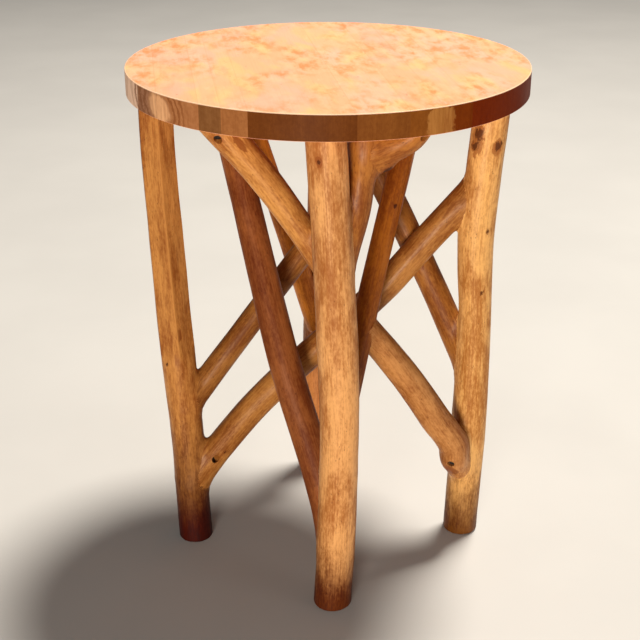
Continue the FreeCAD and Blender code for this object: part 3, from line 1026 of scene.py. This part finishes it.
# End of a board, darker than its face as end grain drinks more varnish and as painted shade of the rim:
# stripes, streaks, rings, mottling and pale spots
def paintEnd(tree, place, noises, rings, look):
    darkEnd, lightEnd = (tinted(look["end"], shares) for shares in endShares)
    colour = layered(tree, look["end"], [
        (ramp(tree, noises["stripes"], 0.35, 0.65, 0.0, 0.35), darkEnd),
        (ramp(tree, noises["streak"], 0.42, 0.75, 0.0, 0.28), lightEnd),
        (ramp(tree, rings, 0.2, 0.9, 0.0, look.get("ringDepth", 0.0)), darkEnd),
        (ramp(tree, noises["mottling"], 0.35, 0.65, 0.0, 0.35), darkEnd),
    ])
    for spot in look.get("pale", []):
        colour = paintSpot(tree, spot, place, noises, colour, darkEnd)
    return colour


def boardFinish(name, look, middle, number):
    material, tree, shader = newFinish(name)
    turned = {"Vector": objectPlace(tree), "Rotation": (0.0, 0.0, -boards["turn"])}
    place = put(tree, "Mapping", turned).outputs[0]
    heart = (middle + look["heart"][0], number * 0.37, topHeight + look["heart"][1])
    wood = useGroup(tree, growthRings, {
        "Place": place, "Heart": heart, "Ring Gap": look["ringGap"], "Wobble": 1.0,
    })
    noises = {label: stretchedNoise(tree, place, **settings) for label, settings in boardNoises.items()}
    facing = partsOf(tree, put(tree, "NewGeometry").outputs["Normal"])["Z"]
    upright = put(tree, "Math", {0: facing}, operation="ABSOLUTE").outputs[0]
    rimMask = ramp(tree, upright, 0.35, 0.6, 1.0, 0.0)
    # the arris is painted pale, strongest on the upper edge: rubbed wear and a painted highlight
    edge = attribute(tree, "edge", "Fac")
    worn = useGroup(tree, wornMask, {"Mask": edge, "Grain": place, **faceLook["rubbedAndHighlitEdge"]})["Worn"]
    colour = layered(tree, paintFace(tree, place, noises, wood["Fibres"], number), [
        (rimMask, paintEnd(tree, place, noises, wood["Rings"], look)),
        (times(tree, worn, 0.7), faceLook["worn"]),
    ])
    swells = noiseAt(tree, place, 28.0)
    relief = weighted(tree, [(wood["Fibres"], 0.3), (wood["Rings"], 0.2), (swells, 0.8)])
    bump = put(tree, "Bump", {"Height": relief, "Strength": 0.35, "Distance": 0.0006})
    feed(tree, shader, {
        "Base Color": colour,
        "Roughness": weighted(tree, [(rimMask, 0.14)], ramp(tree, noises["warm"], 0.3, 0.7, 0.30, 0.42)),
        "Normal": bump.outputs[0],
        "Specular IOR Level": 0.03,
        "Coat Weight": ramp(tree, rimMask, 0.0, 1.0, 0.08, 0.0),
        "Coat Roughness": 0.2,
    })
    return material


# Outline of the top from the middle of its underside round to the middle of its face: distance, height and
# how strongly the arris is painted pale there, as rubbed wear and a painted highlight
def topOutline():
    radius, arris, thickness = boards["radius"], boards["arris"], boards["thickness"]
    inner, ease = radius - arris, arris * 1.4
    turns = [math.pi / 2 * step / boards["arrisSteps"] for step in range(boards["arrisSteps"] + 1)]
    outline = [(radius * share, underside, 0.0) for share in (0.25, 0.5, 0.75, 0.9, 0.97)]
    outline.append((radius - ease, underside, 0.0))
    for turn in turns:
        outline.append((inner + arris * math.sin(turn), underside + arris - arris * math.cos(turn), 0.2))
    for height in (ease, thickness * 0.25, thickness * 0.5, thickness * 0.75, thickness - ease):
        outline.append((radius, underside + height, 0.0))
    for turn in turns:
        outline.append((inner + arris * math.cos(turn), topHeight - arris + arris * math.sin(turn), 1.0))
    outline.append((radius - ease, topHeight, 0.0))
    return outline + [(radius * share, topHeight, 0.0) for share in (0.99, 0.97, 0.9, 0.75, 0.5, 0.25)]


def makeTop():
    outline, count, radius = topOutline(), boards["rimPoints"], boards["radius"]
    vertices, edges = [(0.0, 0.0, underside)], [0.0]
    for distance, height, edge in outline:
        for number in range(count):
            angle = 2 * math.pi * number / count
            vertices.append((distance * math.cos(angle), distance * math.sin(angle), height))
            edges.append(edge)
    vertices.append((0.0, 0.0, topHeight))
    edges.append(0.0)
    last = 1 + (len(outline) - 1) * count
    top = len(vertices) - 1
    faces = [(0, 1 + (n + 1) % count, 1 + n) for n in range(count)]
    faces += bandFaces(len(outline), count, 1)
    faces += [(top, last + n, last + (n + 1) % count) for n in range(count)]
    whole = bpy.data.meshes.new("topDisc")
    whole.from_pydata(vertices, [], faces)
    whole.attributes.new("edge", "FLOAT", "POINT").data.foreach_set("value", edges)

    seams = [-1.02] + boards["seams"] + [1.02]
    across = Vector((math.cos(boards["turn"]), math.sin(boards["turn"]), 0.0))
    for number, (low, high) in enumerate(zip(seams, seams[1:]), start=1):
        shape = bmesh.new()
        shape.from_mesh(whole)
        for share, side in ((low, -1), (high, 1)):
            if abs(share) < 1:
                sawOff(shape, across * (share * radius), across * side)
        bmesh.ops.recalc_face_normals(shape, faces=shape.faces[:])
        mesh = bpy.data.meshes.new(f"board{number}")
        shape.to_mesh(mesh)
        shape.free()
        smoothUpTo(mesh, 40)
        piece = addObject(f"board{number}", mesh)
        middle = (max(low, -1.0) + min(high, 1.0)) / 2 * radius
        mesh.materials.append(boardFinish(f"board{number}Wood", boardLooks[number - 1], middle, number))
        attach(piece, "root")
        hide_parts(f"top_board_{number}")
    print("top made:", len(seams) - 1, "boards")


makeTop()


# Plain finishes for the dowels and the screws, which keep their own solids

def simpleFinish(node, name, dark, light, scale, rough, metal):
    material, tree, shader = newFinish(name)
    tone = noiseAt(tree, objectPlace(tree), scale, 4.0)
    feed(tree, shader, {
        "Base Color": mixColour(tree, ramp(tree, tone, 0.35, 0.65), dark, light),
        "Roughness": ramp(tree, tone, 0.3, 0.7, rough, rough + 0.15),
        "Metallic": metal,
    })
    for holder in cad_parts[node].material_slots:
        holder.material = material


simpleFinish("leg_dowels", "dowelBeech", (0.55, 0.36, 0.20), (0.70, 0.50, 0.30), 180.0, 0.55, 0.0)
# the screws' steel is very dark, partly as painted shade in the holes where their heads sit
simpleFinish("brace_screws", "screwSteel", (0.05, 0.040, 0.035), (0.12, 0.100, 0.085), 700.0, 0.45, 1.0)
print("dowels and screws finished")


# Stage: floor, lights and camera

stage = {
    "floorSize": 14.0,
    "floorTone": (0.56, 0.54, 0.51),
    "floorShade": 0.95,
    "floorRough": 0.85,
    "sky": 0.08,
    "skyTone": (0.95, 0.97, 1.0),
    "lampAim": (0.0, 0.0, 0.3),
}
lamps = {
    "key": {"place": (1.05, 1.1, 4.8), "size": 1.1, "power": 380, "colour": (1.0, 0.95, 0.87)},
    "front": {
        "place": (-0.45, -2.35, 0.3), "size": 0.35, "power": 234, "colour": (1.0, 0.94, 0.86), "cone": 60,
    },
    "side": {"place": (2.3, -1.4, 0.5), "size": 1.0, "power": 7, "colour": (1.0, 0.95, 0.90)},
}

floorMesh = bpy.data.meshes.new("floor")
half = stage["floorSize"] / 2
corners = [(-half, -half, 0), (half, -half, 0), (half, half, 0), (-half, half, 0)]
floorMesh.from_pydata(corners, [], [(0, 1, 2, 3)])
floor = addObject("floor", floorMesh)
floorFinish, tree, shader = newFinish("paleFloor")
cloud = ramp(tree, noiseAt(tree, objectPlace(tree), 3.0, 4.0), 0.3, 0.7)
shaded = [part * stage["floorShade"] for part in stage["floorTone"]]
feed(tree, shader, {
    "Base Color": mixColour(tree, cloud, stage["floorTone"], shaded), "Roughness": stage["floorRough"],
})
floorMesh.materials.append(floorFinish)

world = bpy.data.worlds.new("studio")
world.use_nodes = True
background = world.node_tree.nodes["Background"]
feed(world.node_tree, background, {"Color": stage["skyTone"], "Strength": stage["sky"]})
bpy.context.scene.world = world

for label, lamp in lamps.items():
    data = bpy.data.lights.new(label + "Light", "SPOT" if "cone" in lamp else "AREA")
    if "cone" in lamp:
        data.spot_size = math.radians(lamp["cone"])
        data.spot_blend = 1.0
        data.shadow_soft_size = lamp["size"]
    else:
        data.shape = "DISK"
        data.size = lamp["size"]
    data.energy = lamp["power"]
    data.color = lamp["colour"]
    light = addObject(label + "Light", data)
    light.location = lamp["place"]
    aim = Vector(stage["lampAim"]) - Vector(lamp["place"])
    light.rotation_euler = aim.to_track_quat("-Z", "Y").to_euler()

view = {"place": (-0.00867, -1.3583, 0.90535), "down": 0.4252, "focalPixels": 1250, "framePixels": 640}
camera = bpy.data.cameras.new("camera")
camera.sensor_width = 36
camera.lens = view["focalPixels"] / view["framePixels"] * camera.sensor_width
camera.clip_start = 0.01
cameraObject = addObject("camera", camera)
cameraObject.location = view["place"]
cameraObject.rotation_euler = (math.pi / 2 - view["down"], 0.0, 0.0)
bpy.context.scene.camera = cameraObject
bpy.context.scene.view_settings.view_transform = "Standard"
print("stage set")
